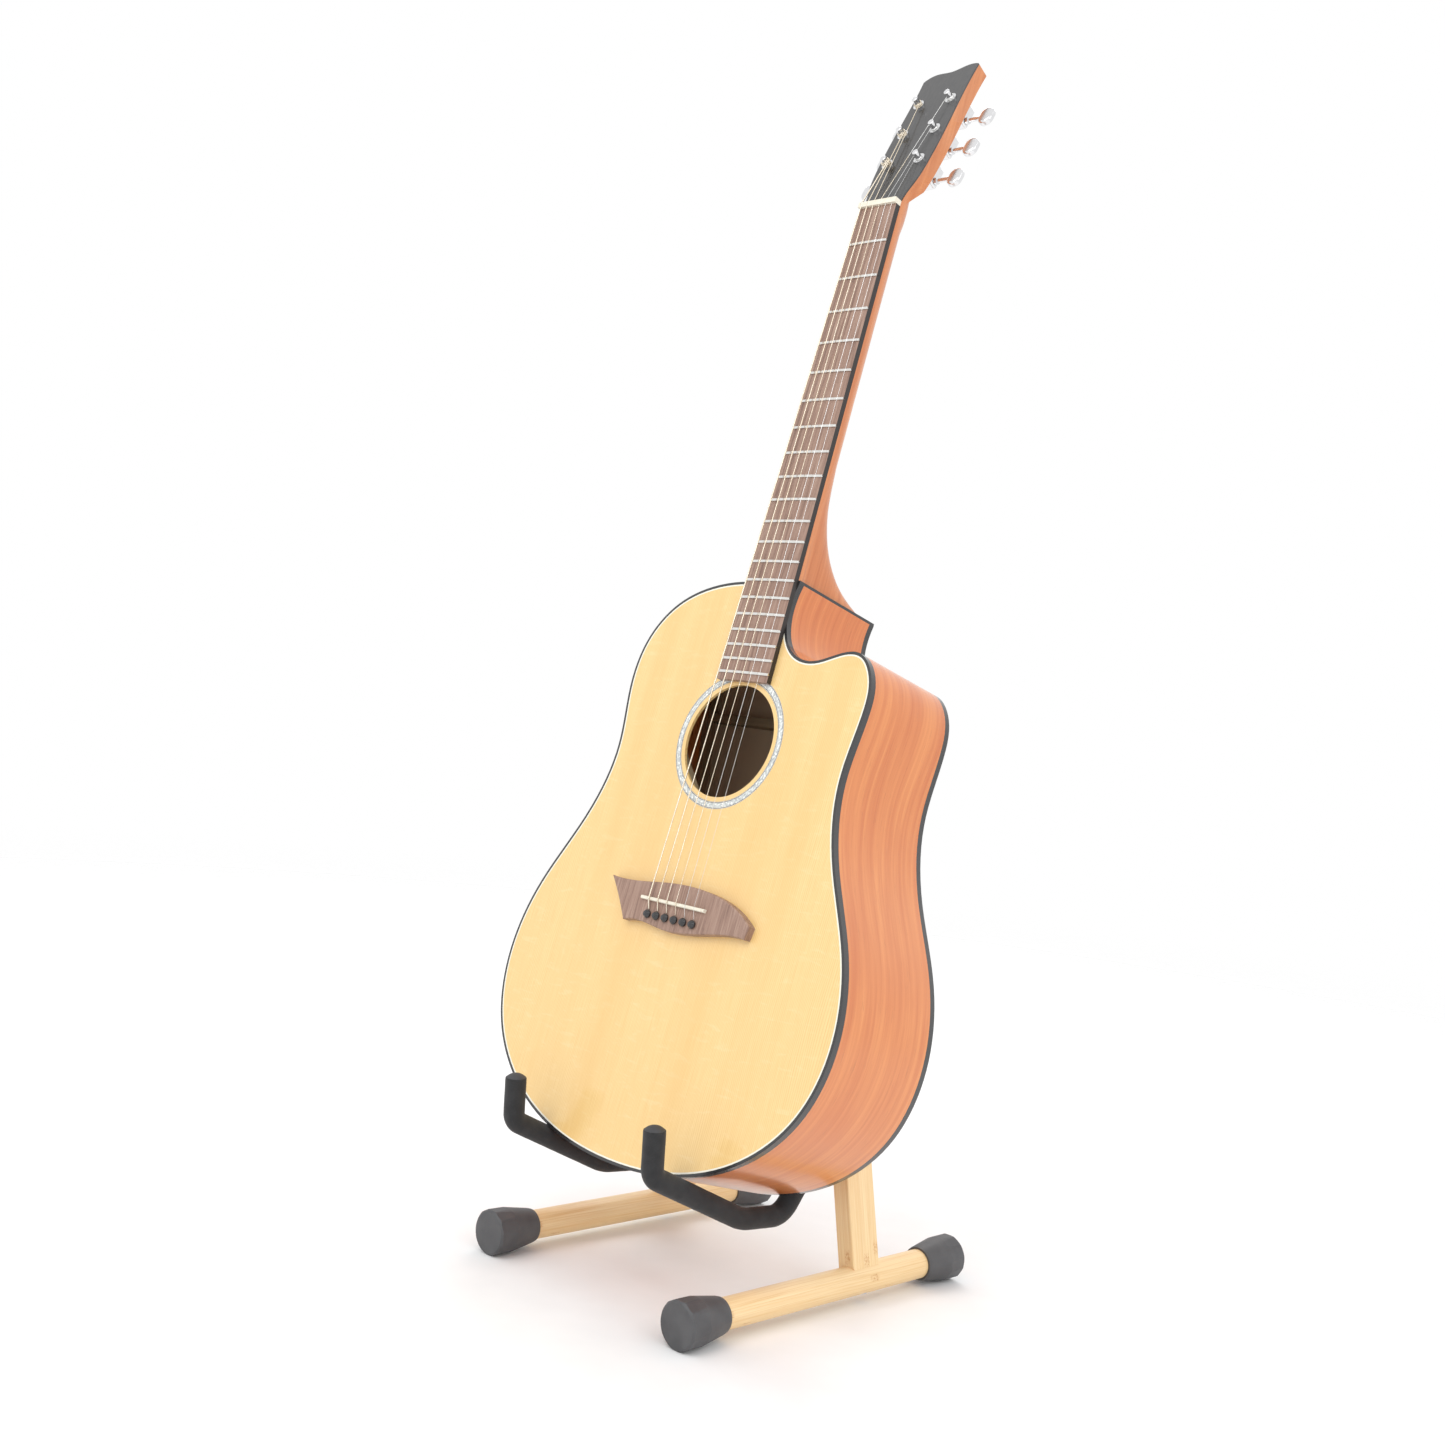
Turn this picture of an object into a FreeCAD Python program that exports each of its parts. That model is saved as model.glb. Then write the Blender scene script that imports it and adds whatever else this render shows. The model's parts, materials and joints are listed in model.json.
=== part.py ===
import FreeCAD, Part
import math
import os

from FreeCAD import Placement, Rotation, Vector

# Acoustic guitar standing on a folding bamboo A-frame stand.
# World frame: millimetres, +Z up, -Y is the front, origin on the floor under the middle of the object.

# ------------------------------------------------------------------ stand sizes
TUBE_R = 12.5                 # base tubes are 25 mm bamboo dowel
FOOT_HALF = 117.5             # half the distance between the two tube axes
CAP_R = 19.0                  # largest radius of the rubber foot caps, flat to flat
CAP_LENGTH = 46.0
CAP_END = 4.0                 # rubber past the end of the tube
TUBE_AXIS_Z = CAP_R
REACH_FRONT = 217.0           # leg foot to the face of the front cap
REACH_BACK = 125.0            # leg foot to the face of the rear cap
LEG_W = 17.0                  # leg width in the plane of the A
LEG_T = 34.2                  # leg depth, front to back
LEG_LENGTH = 399.0            # tube axis to leg top, along the leg
SPLAY = 15.82                 # degrees each leg leans inwards
LEAN = 2.81                   # degrees the A leans back
ARM_UP = 117.0                # tube axis to the arm bolt, along the leg
ROD_R = 4.0
SLEEVE_R = 9.0
PAD_T = 3.4
PAD_DROP = 38.0               # how far the pad reaches down the front of the leg
PIN_R = 1.1
KNUCKLE_R = 2.2
PIN_GAP = 2.5                 # hinge pin axis to each leg's inner face
LEAF_T = 1.2
LEAF_W = 17.0
GAP = 0.3                     # air between neighbours on different bodies
RUN = 0.05                    # radial running clearance

# The arm's centre line: forward from the leg's front face, and down from the bolt.
ARM_CORNERS = [(0, 0), (20, 0), (60, 61), (108, 60), (217, 17.5), (221, -16)]
ARM_BENDS = [16, 22, 50, 12]
ARM_REACH = 229.0             # leg's front face to the front of the sleeve's hook

# ------------------------------------------------------------------ stay sizes
STAY_UP = 208.0               # tube axis to each stay screw, along the leg
STAY_ELBOW_RISE = 21.0        # elbow above the line between the two screws
STAY_DISC_R = 10.0
STRIP_T = 1.5
DISC_DEPTH = 3.2              # the disc stands this far in front of its arm, clear of the legs' backs
COLLAR_R = 5.0                # spacer collar between a leg and its stay arm

# ------------------------------------------------------------------ guitar sizes
SCALE_LENGTH = 648.0
BODY_TOP = 506.0              # tail to the neck joint, which is at the 14th fret
TAIL_DEPTH = 125.0
BACK_DOME_R = 4570.0          # the back is a shallow part of a sphere
BACK_DOME_Z = 89.6            # height of the deepest point of the back
RIM_T = 2.5                   # side thickness, and binding width
BINDING_H = 6.0
TOP_T = 2.8
LINING_T = 6.0
SOUNDHOLE_R = 50.0
SOUNDHOLE_Z = 362.0
ROSETTE = (54.0, 60.5)
BOARD_T = 6.0                 # fretboard thickness
FRETS = 20
NUT_W = 43.0
HEEL_W = 56.0
SHIM_T = 2.5                  # black strip between the heel and the body
TOP_HALF = 30.0               # half the width of the flat where the neck meets the body
# Rise above the foot, depth and squareness of sections up the heel
HEEL_SHAPE = [(0, 105, 5), (3.5, 92, 5), (9.5, 75, 4.6), (19, 58, 4.2), (31, 45.5, 3.6), (47, 34.5, 3.1),
              (66, 26.8, 2.7), (86, 22.8, 2.5), (108, 20.9, 2.4)]
HEAD_TILT = 14.0              # degrees the headstock tips back
HEAD_T = 14.0
HEAD_HALF = 29.4
HEAD_FLARE = [(21.5, 0), (23.2, 11), (26.6, 24), (28.9, 42)]    # half width, height
HEAD_TOP = [(-29.4, 158), (-13, 165), (1, 164.4), (16, 168.6), (29.6, 168)]
HEAD_TAPER = 26.0             # the headstock thickens to its full depth over this height
VENEER_T = 1.5
STRING_R = [0.67, 0.53, 0.41, 0.31, 0.20, 0.15]
NUT_SPREAD = 36.4
SADDLE_SPREAD = 54.0
SADDLE_Y = -11.5              # top of the saddle, in front of the soundboard
NUT_Y = -8.0
PIN_Z = 203.0
PIN_HEAD_R = 3.7
BRIDGE_H = 8.0
PEG_R = 3.5                   # end pin's peg, in the tail block
END_PIN_Y = 63.0
WRAP_GAP = 0.04               # between a string's turns and its post
WASHER_T = 1.6                # rim of a tuner bushing on the headstock's face
TURN_SWEEPS = [320, 360, 360]  # degrees of each turn
POST_R = 3.0
POST_X = 18.5                 # posts each side of the headstock's middle line
POST_HEIGHTS = [50.0, 87.0, 125.0]
POST_TOP = -11.0
BUSHING_R = 4.6
SHAFT_Y = HEAD_T + 5.5
WORM_DROP = 7.8               # worm axis below the post axis, along the headstock
SADDLE_Z = 216.0

# The guitar's place on the stand
GUITAR_LEAN = 13.76           # degrees from upright
TAIL_FORWARD = 197.48         # lower front edge of the body, in front of the leg feet
TAIL_UP = 109.73              # and above the floor

# ------------------------------------------------------------------ worked-out values
SIN_A = math.sin(math.radians(SPLAY))
COS_A = math.cos(math.radians(SPLAY))
ARM_FORWARD = ARM_REACH + LEG_T / 2 - ARM_UP * COS_A * math.sin(math.radians(LEAN))
FOOT_Y = (ARM_FORWARD - REACH_BACK) / 2      # puts the origin midway between hook and rear cap
NUT_Z = BODY_TOP + SCALE_LENGTH * (1 - 2 ** (-14 / 12))
PIN_UP = (FOOT_HALF * COS_A - LEG_W / 2 - PIN_GAP) / SIN_A      # tube axis to hinge pin, up the A
SIDES = {"left": -1, "right": 1}
X_AXIS = Vector(1, 0, 0)
Y_AXIS = Vector(0, 1, 0)
Z_AXIS = Vector(0, 0, 1)

A_PLANE = Placement(Vector(0, FOOT_Y, TUBE_AXIS_Z), Rotation(X_AXIS, -LEAN))
GUITAR = Placement(Vector(0, FOOT_Y - TAIL_FORWARD, TAIL_UP), Rotation(X_AXIS, -GUITAR_LEAN))
HEADSTOCK = GUITAR * Placement(Vector(0, 0, NUT_Z + 5), Rotation(X_AXIS, -HEAD_TILT))


def leg_frame(side):
    """Leg axes: X across the leg towards +X, Y back, Z up the leg, origin on the tube axis."""
    return A_PLANE * Placement(Vector(side * FOOT_HALF, 0, 0), Rotation(Y_AXIS, -side * SPLAY))


def save(name, shape, frame=Placement()):
    placed = shape.copy()
    placed.Placement = frame * placed.Placement
    placed.exportStep("parts/" + name + ".step")


def box(x, y, z):
    """A box from three (low, high) pairs."""
    return Part.makeBox(x[1] - x[0], y[1] - y[0], z[1] - z[0], Vector(x[0], y[0], z[0]))


def rod(radius, start, end):
    """A cylinder between two points."""
    start = Vector(*start)
    span = Vector(*end) - start
    return Part.makeCylinder(radius, span.Length, start, span)


def revolve(profile, axis=Z_AXIS):
    """A turned solid from (radius, height) points about the Z axis, laid along another axis."""
    points = [Vector(r, 0, z) for r, z in profile]
    solid = Part.Face(Part.makePolygon(points + points[:1])).revolve(Vector(), Z_AXIS, 360)
    solid.Placement = Placement(Vector(), Rotation(Z_AXIS, axis))
    return solid


def moved(shape, x=0, y=0, z=0):
    copy = shape.copy()
    copy.translate(Vector(x, y, z))
    return copy


def smooth(points, closed=False):
    """A smooth curve in the XZ plane through (x, z) points."""
    curve = Part.BSplineCurve()
    curve.interpolate([Vector(x, 0, z) for x, z in points], PeriodicFlag=closed)
    return curve.toShape()


def slab(wire, y0, y1):
    """The area inside an XZ outline, from y0 back to y1."""
    face = Part.Face(wire)
    face.translate(Vector(0, y0, 0))
    return face.extrude(Vector(0, y1 - y0, 0))


def hull_strip(r0, r1, length):
    """A flat strip outline in XZ with a round end at the origin and one at (length, 0)."""
    lean = math.asin((r0 - r1) / length)
    s, c = math.sin(lean), math.cos(lean)
    corners = [(r0 * s, r0 * c), (length + r1 * s, r1 * c), (length + r1 * s, -r1 * c), (r0 * s, -r0 * c)]
    a, b, d, e = [Vector(x, 0, z) for x, z in corners]
    far = Part.Arc(b, Vector(length + r1, 0, 0), d).toShape()
    near = Part.Arc(e, Vector(-r0, 0, 0), a).toShape()
    return Part.Wire([Part.makeLine(a, b), far, Part.makeLine(d, e), near])


def bent_path(corners, radii):
    """Straight runs joined by tangent arcs, in the YZ plane of (forward, down) corners."""
    points = [Vector(0, -a, -b) for a, b in corners]
    edges = []
    start = points[0]
    for before, corner, after, radius in zip(points, points[1:], points[2:], radii):
        u = (before - corner).normalize()
        v = (after - corner).normalize()
        half = u.getAngle(v) / 2
        reach = radius / math.tan(half)
        middle = (u + v).normalize() * (radius / math.sin(half) - radius) + corner
        end = corner + v * reach
        edges += [Part.makeLine(start, corner + u * reach),
                  Part.Arc(corner + u * reach, middle, end).toShape()]
        start = end
    edges.append(Part.makeLine(start, points[-1]))
    return Part.Wire(edges)


def pipe(path, radius):
    first = path.Edges[0]
    circle = Part.makeCircle(radius, first.valueAt(first.FirstParameter), first.tangentAt(first.FirstParameter))
    return path.makePipeShell([Part.Wire([circle])], True, True)


# ------------------------------------------------------------------ stand
def foot_cap(y_face, inward):
    """A rubber cap closed at y_face, tapering along `inward` to its rim, with twelve grip flats."""
    rim = TUBE_R + 2.6
    flare = CAP_R + 0.6
    skin = revolve([(0, 0), (flare - 2, 0), (flare, 2), (flare - 0.4, 18), (rim, CAP_LENGTH - 3),
                    (rim - 0.8, CAP_LENGTH), (TUBE_R, CAP_LENGTH), (TUBE_R, CAP_END), (0, CAP_END)],
                   Vector(0, inward, 0))
    skin.translate(Vector(0, y_face, 0))
    corner_r = CAP_R / math.cos(math.pi / 12)
    corners = [Vector(corner_r * math.cos(math.radians(15 + 30 * k)), y_face - inward,
                      corner_r * math.sin(math.radians(15 + 30 * k))) for k in range(13)]
    prism = Part.Face(Part.makePolygon(corners)).extrude(Vector(0, inward * (CAP_LENGTH + 2), 0))
    return skin.common(prism)


def base_and_leg(name, side):
    frame = leg_frame(side)
    foot = Placement(Vector(side * FOOT_HALF, FOOT_Y, TUBE_AXIS_Z), Rotation())
    y0, y1 = -REACH_FRONT + CAP_END, REACH_BACK - CAP_END
    tube = rod(TUBE_R, (0, y0, 0), (0, y1, 0))
    tube.Placement = foot
    bolt = rod(5, (0, 0, -TUBE_R - 1), (0, 0, -8.5)).fuse(rod(3, (0, 0, -9), (0, 0, 36)))
    clearance = rod(5, (0, 0, -TUBE_R - 3), (0, 0, -8.5)).fuse(rod(3, (0, 0, -9), (0, 0, 38)))
    bolt = bolt.cut(box((-9, 9), (-9, 9), (-TUBE_R - 3, -TUBE_R + 0.3)))
    bolt = bolt.cut(rod(1.7, (0, 0, -TUBE_R - 1), (0, 0, -9.8)))
    nut_end = side * (12 - LEG_W / 2)
    barrel = rod(5, (side * (1.5 - LEG_W / 2), 0, 30), (nut_end, 0, 30))
    well = rod(5, (side * -LEG_W, 0, 30), (nut_end, 0, 30))
    nut = barrel.cut(rod(3, (0, 0, 0), (0, 0, 38)))
    leg = box((-LEG_W / 2, LEG_W / 2), (-LEG_T / 2, LEG_T / 2), (0, LEG_LENGTH))
    long_edges = [e for e in leg.Edges if e.Length > LEG_LENGTH - 1]
    leg = leg.makeFillet(1.2, long_edges)
    stay_hole = rod(2, (0, LEG_T / 2 - 12, STAY_UP), (0, LEG_T, STAY_UP))
    leg = leg.cut([rod(ROD_R + 0.1, (0, -LEG_T, ARM_UP), (0, LEG_T, ARM_UP)), clearance, well, stay_hole])
    leg.Placement = frame
    leg = leg.cut(rod(TUBE_R, (side * FOOT_HALF, FOOT_Y - 60, TUBE_AXIS_Z),
                      (side * FOOT_HALF, FOOT_Y + 60, TUBE_AXIS_Z)))
    clearance.Placement = frame
    save(name + "_leg", leg)
    save(name + "_base_tube", tube.cut(clearance))
    save(name + "_leg_bolt", Part.makeCompound([bolt, nut]), frame)
    caps = [foot_cap(-REACH_FRONT, 1), foot_cap(REACH_BACK, -1)]
    save(name + "_foot_caps", Part.makeCompound(caps), foot)


def top_pad(name, side):
    """A soft L-shaped pad: down the front of the leg and over its top."""
    inner, outer = sorted((-side * (LEG_W / 2 - 1.2), side * LEG_W / 2))
    front = box((inner, outer), (-LEG_T / 2 - PAD_T, -LEG_T / 2), (LEG_LENGTH - PAD_DROP, LEG_LENGTH + PAD_T))
    over = box((inner, outer), (-LEG_T / 2 - 0.5, LEG_T / 2), (LEG_LENGTH, LEG_LENGTH + PAD_T))
    pad = front.fuse(over).removeSplitter()
    nose = [e for e in pad.Edges
            if e.BoundBox.YMax < -LEG_T / 2 - PAD_T + 0.01 and e.BoundBox.ZMin > LEG_LENGTH + PAD_T - 0.01]
    save(name + "_top_pad", pad.makeFillet(2.4, nose), leg_frame(side))


def hinge():
    """A butt hinge between the legs' inner faces; its leaves end in a half circle."""
    pin_t = FOOT_HALF * SIN_A + PIN_UP * COS_A
    rivets_t = [pin_t - 6.0, pin_t - 14.0]
    half = LEAF_W / 2
    knuckles = {"left": [(-half, -half / 3 - 0.1), (half / 3 + 0.1, half)], "right": [(-half / 3, half / 3)]}
    for name, side in SIDES.items():
        face_x = -side * LEG_W / 2
        skin_x = face_x - side * LEAF_T
        outline = box(sorted((face_x, skin_x)), (-half, half), (pin_t - 12, pin_t))
        tip = rod(half, (face_x, 0, pin_t - 10.5), (skin_x, 0, pin_t - 10.5))
        leaf = outline.cut(box((-20, 20), (-20, 20), (pin_t - 30, pin_t - 10.5))).fuse(tip)
        axis_x = face_x - side * PIN_GAP
        keep = box(sorted((face_x, skin_x)), (-half, half), (pin_t - 30, pin_t))
        leaf = leaf.common(keep)
        for y0, y1 in knuckles[name]:
            eye = rod(KNUCKLE_R, (axis_x, y0, pin_t), (axis_x, y1, pin_t))
            web = box(sorted((skin_x, axis_x)), (y0, y1), (pin_t - KNUCKLE_R, pin_t - KNUCKLE_R + LEAF_T))
            leaf = leaf.fuse(eye).fuse(web)
        gaps = [(y0 - 0.1, y1 + 0.1) for y0, y1 in knuckles["right" if name == "left" else "left"]]
        for y0, y1 in gaps:
            leaf = leaf.cut(rod(KNUCKLE_R + GAP, (axis_x, y0, pin_t), (axis_x, y1, pin_t)))
        bore = PIN_R + (RUN if name == "right" else 0)
        leaf = leaf.cut(rod(bore, (axis_x, -half - 1, pin_t), (axis_x, half + 1, pin_t)))
        rivets = []
        for t in rivets_t:
            shank = rod(1.5, (face_x, 0, t), (skin_x, 0, t))
            leaf = leaf.cut(shank)
            head = rod(2.3, (skin_x, 0, t), (skin_x - side * 1.0, 0, t))
            rim = [e for e in head.Edges if abs(e.BoundBox.Center.x - (skin_x - side * 1.0)) < 0.01]
            rivets.append(shank.fuse(head.makeFillet(0.7, rim)).removeSplitter())
        save(name + "_hinge_leaf", leaf.removeSplitter(), leg_frame(side))
        save(name + "_hinge_rivets", Part.makeCompound(rivets), leg_frame(side))
    save("hinge_pin", rod(PIN_R, (0, -half, PIN_UP), (0, half, PIN_UP)), A_PLANE)


def stay():
    """Two flat arms on spacer screws behind the legs, meeting in a friction disc that folds upwards."""
    screw_x = FOOT_HALF - STAY_UP * SIN_A
    screw_z = STAY_UP * COS_A
    elbow = Vector(0, 0, screw_z + STAY_ELBOW_RISE)
    reach = math.hypot(screw_x, STAY_ELBOW_RISE)
    eye_r = 2.6
    y_front = LEG_T / 2 + DISC_DEPTH + GAP
    for name, side in SIDES.items():
        y = y_front + (0 if side < 0 else STRIP_T + GAP)
        screw_at = Vector(side * screw_x, 0, screw_z)
        place = A_PLANE * Placement(screw_at, Rotation(X_AXIS, elbow - screw_at))
        strip = slab(hull_strip(4.5, STAY_DISC_R + (0 if side < 0 else 1), reach), y, y + STRIP_T)
        eye = rod(eye_r if side < 0 else 3.4, (reach, y - 1, 0), (reach, y + 9, 0))
        save("stay_%s_arm" % name, strip.cut([rod(2 + RUN, (0, y - 1, 0), (0, y + 9, 0)), eye]), place)
        seat = y + STRIP_T + 0.2
        head = rod(4, (0, seat, 0), (0, seat + 2, 0))
        head = head.makeFillet(1.2, [e for e in head.Edges if e.BoundBox.YMin > seat + 1.9])
        collar = rod(COLLAR_R, (0, LEG_T / 2, 0), (0, y - GAP, 0))
        screw = rod(2, (0, LEG_T / 2 - 12, 0), (0, seat + 0.3, 0)).fuse([head, collar]).removeSplitter()
        save("stay_%s_screw" % name, screw, A_PLANE * Placement(screw_at, Rotation()))
        if side < 0:
            save("stay_disc", stay_disc(reach, y_front, eye_r), place)


def stay_disc(reach, y, eye_r):
    """A dished cover with two dimples and a hollow rivet, on the front of the left stay arm."""
    cover = rod(STAY_DISC_R - 0.4, (reach, y - 3, 0), (reach, y, 0))
    cover = cover.makeFillet(1.4, [e for e in cover.Edges if e.BoundBox.YMax < y - 2.9])
    cover = cover.cut(rod(6.6, (reach, y - 4, 0), (reach, y - 2.2, 0)))
    dimples = [rod(1.1, (reach + t, y - 2.7, t), (reach + t, y - 2, t)) for t in (-3.2, 3.2)]
    lip = rod(3.6, (reach, y - DISC_DEPTH, 0), (reach, y - 2, 0))
    rivet = rod(eye_r, (reach, y - 3, 0), (reach, y + STRIP_T, 0))
    through = rod(1.8, (reach, y - 5, 0), (reach, y + 9, 0))
    return cover.fuse([lip, rivet] + dimples).cut(through).removeSplitter()


def arm(name, side):
    """A bent steel rod in a foam sleeve, clamped through the leg by a wing knob."""
    frame = leg_frame(side) * Placement(Vector(0, -LEG_T / 2, ARM_UP), Rotation(Y_AXIS, side * SPLAY))
    path = bent_path(ARM_CORNERS, ARM_BENDS)
    stud = rod(ROD_R, (0, 0, 0), (0, LEG_T + 11, 0))
    core = pipe(path, ROD_R)
    save(name + "_arm_rod", core.fuse(stud).removeSplitter(), frame)
    skin = pipe(path, SLEEVE_R).cut(box((-20, 20), (-GAP, 5), (-20, 20)))
    tip = Vector(0, -ARM_CORNERS[-1][0], -ARM_CORNERS[-1][1])
    run = (tip - Vector(0, -ARM_CORNERS[-2][0], -ARM_CORNERS[-2][1])).normalize()
    dome = Part.makeCylinder(SLEEVE_R, 8, tip - run * 1, run)
    dome = dome.makeFillet(6, [e for e in dome.Edges if abs((e.BoundBox.Center - tip - run * 7).Length) < 0.5])
    sleeve = skin.fuse(dome).removeSplitter().cut(core).cut(stud)
    save(name + "_arm_sleeve", sleeve, frame)
    y0 = LEG_T + GAP
    hub = rod(8.5, (0, y0, 0), (0, y0 + 15, 0))
    hub = hub.makeFillet(2, [e for e in hub.Edges if e.BoundBox.YMin > y0 + 14.9])
    outline = hull_strip(6.5, 6.5, 24)
    outline.translate(Vector(-12, 0, 0))
    outline.rotate(Vector(), Y_AXIS, 90)
    wing = slab(outline, y0 + 1.5, y0 + 12)
    wing = wing.makeFillet(2, [e for e in wing.Edges if e.BoundBox.YMin > y0 + 11.9])
    knob = hub.fuse(wing).removeSplitter()
    save(name + "_knob", knob.cut(rod(ROD_R + RUN, (0, 0, 0), (0, LEG_T + 11.5, 0))), frame)


# ------------------------------------------------------------------ guitar body
def body_rim():
    """Dreadnought outline with a rounded cutaway on the treble side, from the bass side of the neck round."""
    half = [(71, 7.5), (135, 34), (181, 82), (196, 140), (183, 208), (150, 275), (134, 345)]
    bass_shoulder = [(-142, 405), (-136, 448), (-114, 479), (-76, 499), (-TOP_HALF, BODY_TOP)]
    cutaway = [(139, 400), (136, 427), (117, 448), (92, 445), (66, 438), (42, 446), (29, 468), (27, 490),
               (TOP_HALF, BODY_TOP)]
    bass = bass_shoulder[::-1] + [(-x, z) for x, z in half[::-1]]
    return smooth(bass + [(0, 0)] + half + cutaway)


def body_area(inset, y0, y1):
    """The body's outline moved in by `inset`, as a solid from y0 back to y1."""
    rim = body_rim()
    if inset:
        steps = 90
        span = rim.LastParameter - rim.FirstParameter
        places = [rim.FirstParameter + span * k / steps for k in range(steps + 1)]
        inward = [rim.tangentAt(t).cross(Y_AXIS) * inset for t in places]
        points = [rim.valueAt(t) + step for t, step in zip(places, inward)]
        rim = smooth([(p.x, p.z) for p in points])
    ends = [rim.valueAt(rim.LastParameter), rim.valueAt(rim.FirstParameter)]
    solid = slab(Part.Wire([rim, Part.makeLine(*ends)]), y0, y1)
    return solid.common(box((-250, 250), (y0, y1), (-20, BODY_TOP - inset)))


def dome(inset):
    """Everything in front of the back's outer face moved in by `inset`."""
    radius = BACK_DOME_R - inset
    centre_y = TAIL_DEPTH - math.sqrt(BACK_DOME_R ** 2 - BACK_DOME_Z ** 2)
    reach = 480.0
    points = [Vector(r, centre_y + math.sqrt(radius ** 2 - r ** 2), 0) for r in (0, reach / 2, reach)]
    corners = [points[2], Vector(reach, -60, 0), Vector(0, -60, 0), points[0]]
    outline = Part.Wire([Part.Arc(*points).toShape(), Part.makePolygon(corners)])
    plug = Part.Face(outline).revolve(Vector(), Y_AXIS, 360)
    return moved(plug, z=BACK_DOME_Z)


def body():
    hollow = body_area(RIM_T, 0, 140)
    core = body_area(RIM_T + LINING_T, 0, 140)
    rim = body_area(0, 0, 140).cut(hollow)
    front_layer = box((-250, 250), (0, BINDING_H), (-20, 520))
    peg_hole = rod(PEG_R + RUN, (0, END_PIN_Y, -5), (0, END_PIN_Y, 30))
    save_body = {}
    save_body["top_binding"] = rim.common(front_layer)
    save_body["sides"] = rim.common(dome(BINDING_H)).cut([front_layer, peg_hole])
    save_body["back_binding"] = rim.common(dome(0)).cut(dome(BINDING_H))
    save_body["back"] = hollow.common(dome(0)).cut(dome(TOP_T))
    inside = hollow.common(dome(TOP_T)).cut(box((-250, 250), (-1, TOP_T), (-20, 520)))
    neck_block = inside.common(box((-38, 38), (0, 140), (458, 520)))
    tail_block = inside.common(box((-45, 45), (0, 140), (-5, 24))).cut(peg_hole)
    blocks = neck_block.fuse(tail_block)
    top_lining = inside.cut(core).common(box((-250, 250), (0, TOP_T + 12), (-20, 520))).cut(blocks)
    back_lining = inside.cut(core).cut(dome(TOP_T + 12)).cut(blocks)
    save_body["linings"] = Part.makeCompound([top_lining, back_lining])
    save_body["end_blocks"] = Part.makeCompound([neck_block, tail_block])
    room = inside.cut(blocks).common(core)

    hole = rod(SOUNDHOLE_R, (0, -1, SOUNDHOLE_Z), (0, 9, SOUNDHOLE_Z))
    inlay = rod(ROSETTE[1], (0, 0, SOUNDHOLE_Z), (0, 1.2, SOUNDHOLE_Z)).cut(
        rod(ROSETTE[0], (0, -1, SOUNDHOLE_Z), (0, 2, SOUNDHOLE_Z)))
    inlay = inlay.cut(box((-HEEL_W / 2, HEEL_W / 2), (-1, 2), (BOARD_END, 520)))
    save_body["rosette"] = inlay
    board = hollow.common(box((-250, 250), (0, TOP_T), (-20, 520)))
    save_body["soundboard"] = board.cut([hole, inlay] + pin_holes())

    bars = []
    for turn in (-42, 42):
        bar = box((-4, 4), (TOP_T, TOP_T + 14), (-160, 160))
        bar.rotate(Vector(), Y_AXIS, turn)
        bars.append(moved(bar, z=275))
    bars.append(box((-120, 120), (TOP_T, TOP_T + 14), (424, 434)))
    plate = box((-70, 70), (TOP_T, TOP_T + 2.5), (190, 222))
    frame_bars = bars[0].fuse(bars[1:]).common(room)
    plate = plate.cut(frame_bars).cut(pin_holes()).common(room)
    ladder = [box((-200, 200), (60, 140), (z - 4, z + 4)) for z in (85, 190, 300, 405)]
    ladder = [bar.common(room).cut(dome(TOP_T + 11)) for bar in ladder]
    save_body["braces"] = Part.makeCompound([frame_bars, plate] + ladder)
    for name, shape in save_body.items():
        save(name, shape, GUITAR)


def string_xs(spread):
    """The six strings' places across the guitar, bass first."""
    return [spread * (k / 5 - 0.5) for k in range(6)]


def pin_holes():
    return [rod(2.4, (x, -12, PIN_Z), (x, 12, PIN_Z)) for x in string_xs(SADDLE_SPREAD)]


def bridge():
    """An asymmetric bridge with a pointed bass end and a blunt treble end."""
    top_edge = smooth([(-84, 229), (-50, 229), (-10, 233), (30, 232.5), (62, 226), (88, 212)])
    end = Part.makeLine(Vector(88, 0, 212), Vector(86, 0, 201))
    bottom = smooth([(86, 201), (58, 200), (28, 195), (-8, 193), (-34, 196), (-56, 194)])
    point = smooth([(-56, 194), (-66, 208), (-84, 229)])
    shape = slab(Part.Wire([top_edge, end, bottom, point]), -8, 0)
    face_rim = [e for e in shape.Edges if e.BoundBox.YMax < -7.9]
    shape = shape.makeFillet(1.6, face_rim)
    slot = box((-38, 38), (-9, -3.5), (SADDLE_Z - 1.5, SADDLE_Z + 1.5))
    save("bridge", shape.cut([slot] + pin_holes()), GUITAR)
    saddle = box((-38, 38), (SADDLE_Y, -3.5), (SADDLE_Z - 1.5, SADDLE_Z + 1.5))
    crown = [e for e in saddle.Edges if e.BoundBox.YMax < SADDLE_Y + 0.1 and e.Length > 50]
    save("saddle", saddle.makeFillet(1.2, crown), GUITAR)
    pins = []
    for x in string_xs(SADDLE_SPREAD):
        pin = revolve([(0, -16), (1.9, -16), (2.3, 8.2), (3.6, 8.6), (3.7, 10), (2.4, 11.8), (0, 12.2)],
                      Vector(0, -1, 0))
        pins.append(moved(pin, x, 0, PIN_Z))
    save("bridge_pins", Part.makeCompound(pins), GUITAR)
    button = revolve([(0, 0), (8, 0), (8.5, 1.5), (5, 5), (4.6, 8), (7.2, 11), (6.4, 13), (0, 13.5)], Vector(0, 0, -1))
    peg = rod(PEG_R, (0, 0, 0), (0, 0, 18))
    end_pin = moved(button.fuse(peg), y=END_PIN_Y)
    save("end_pin", end_pin, GUITAR)


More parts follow.
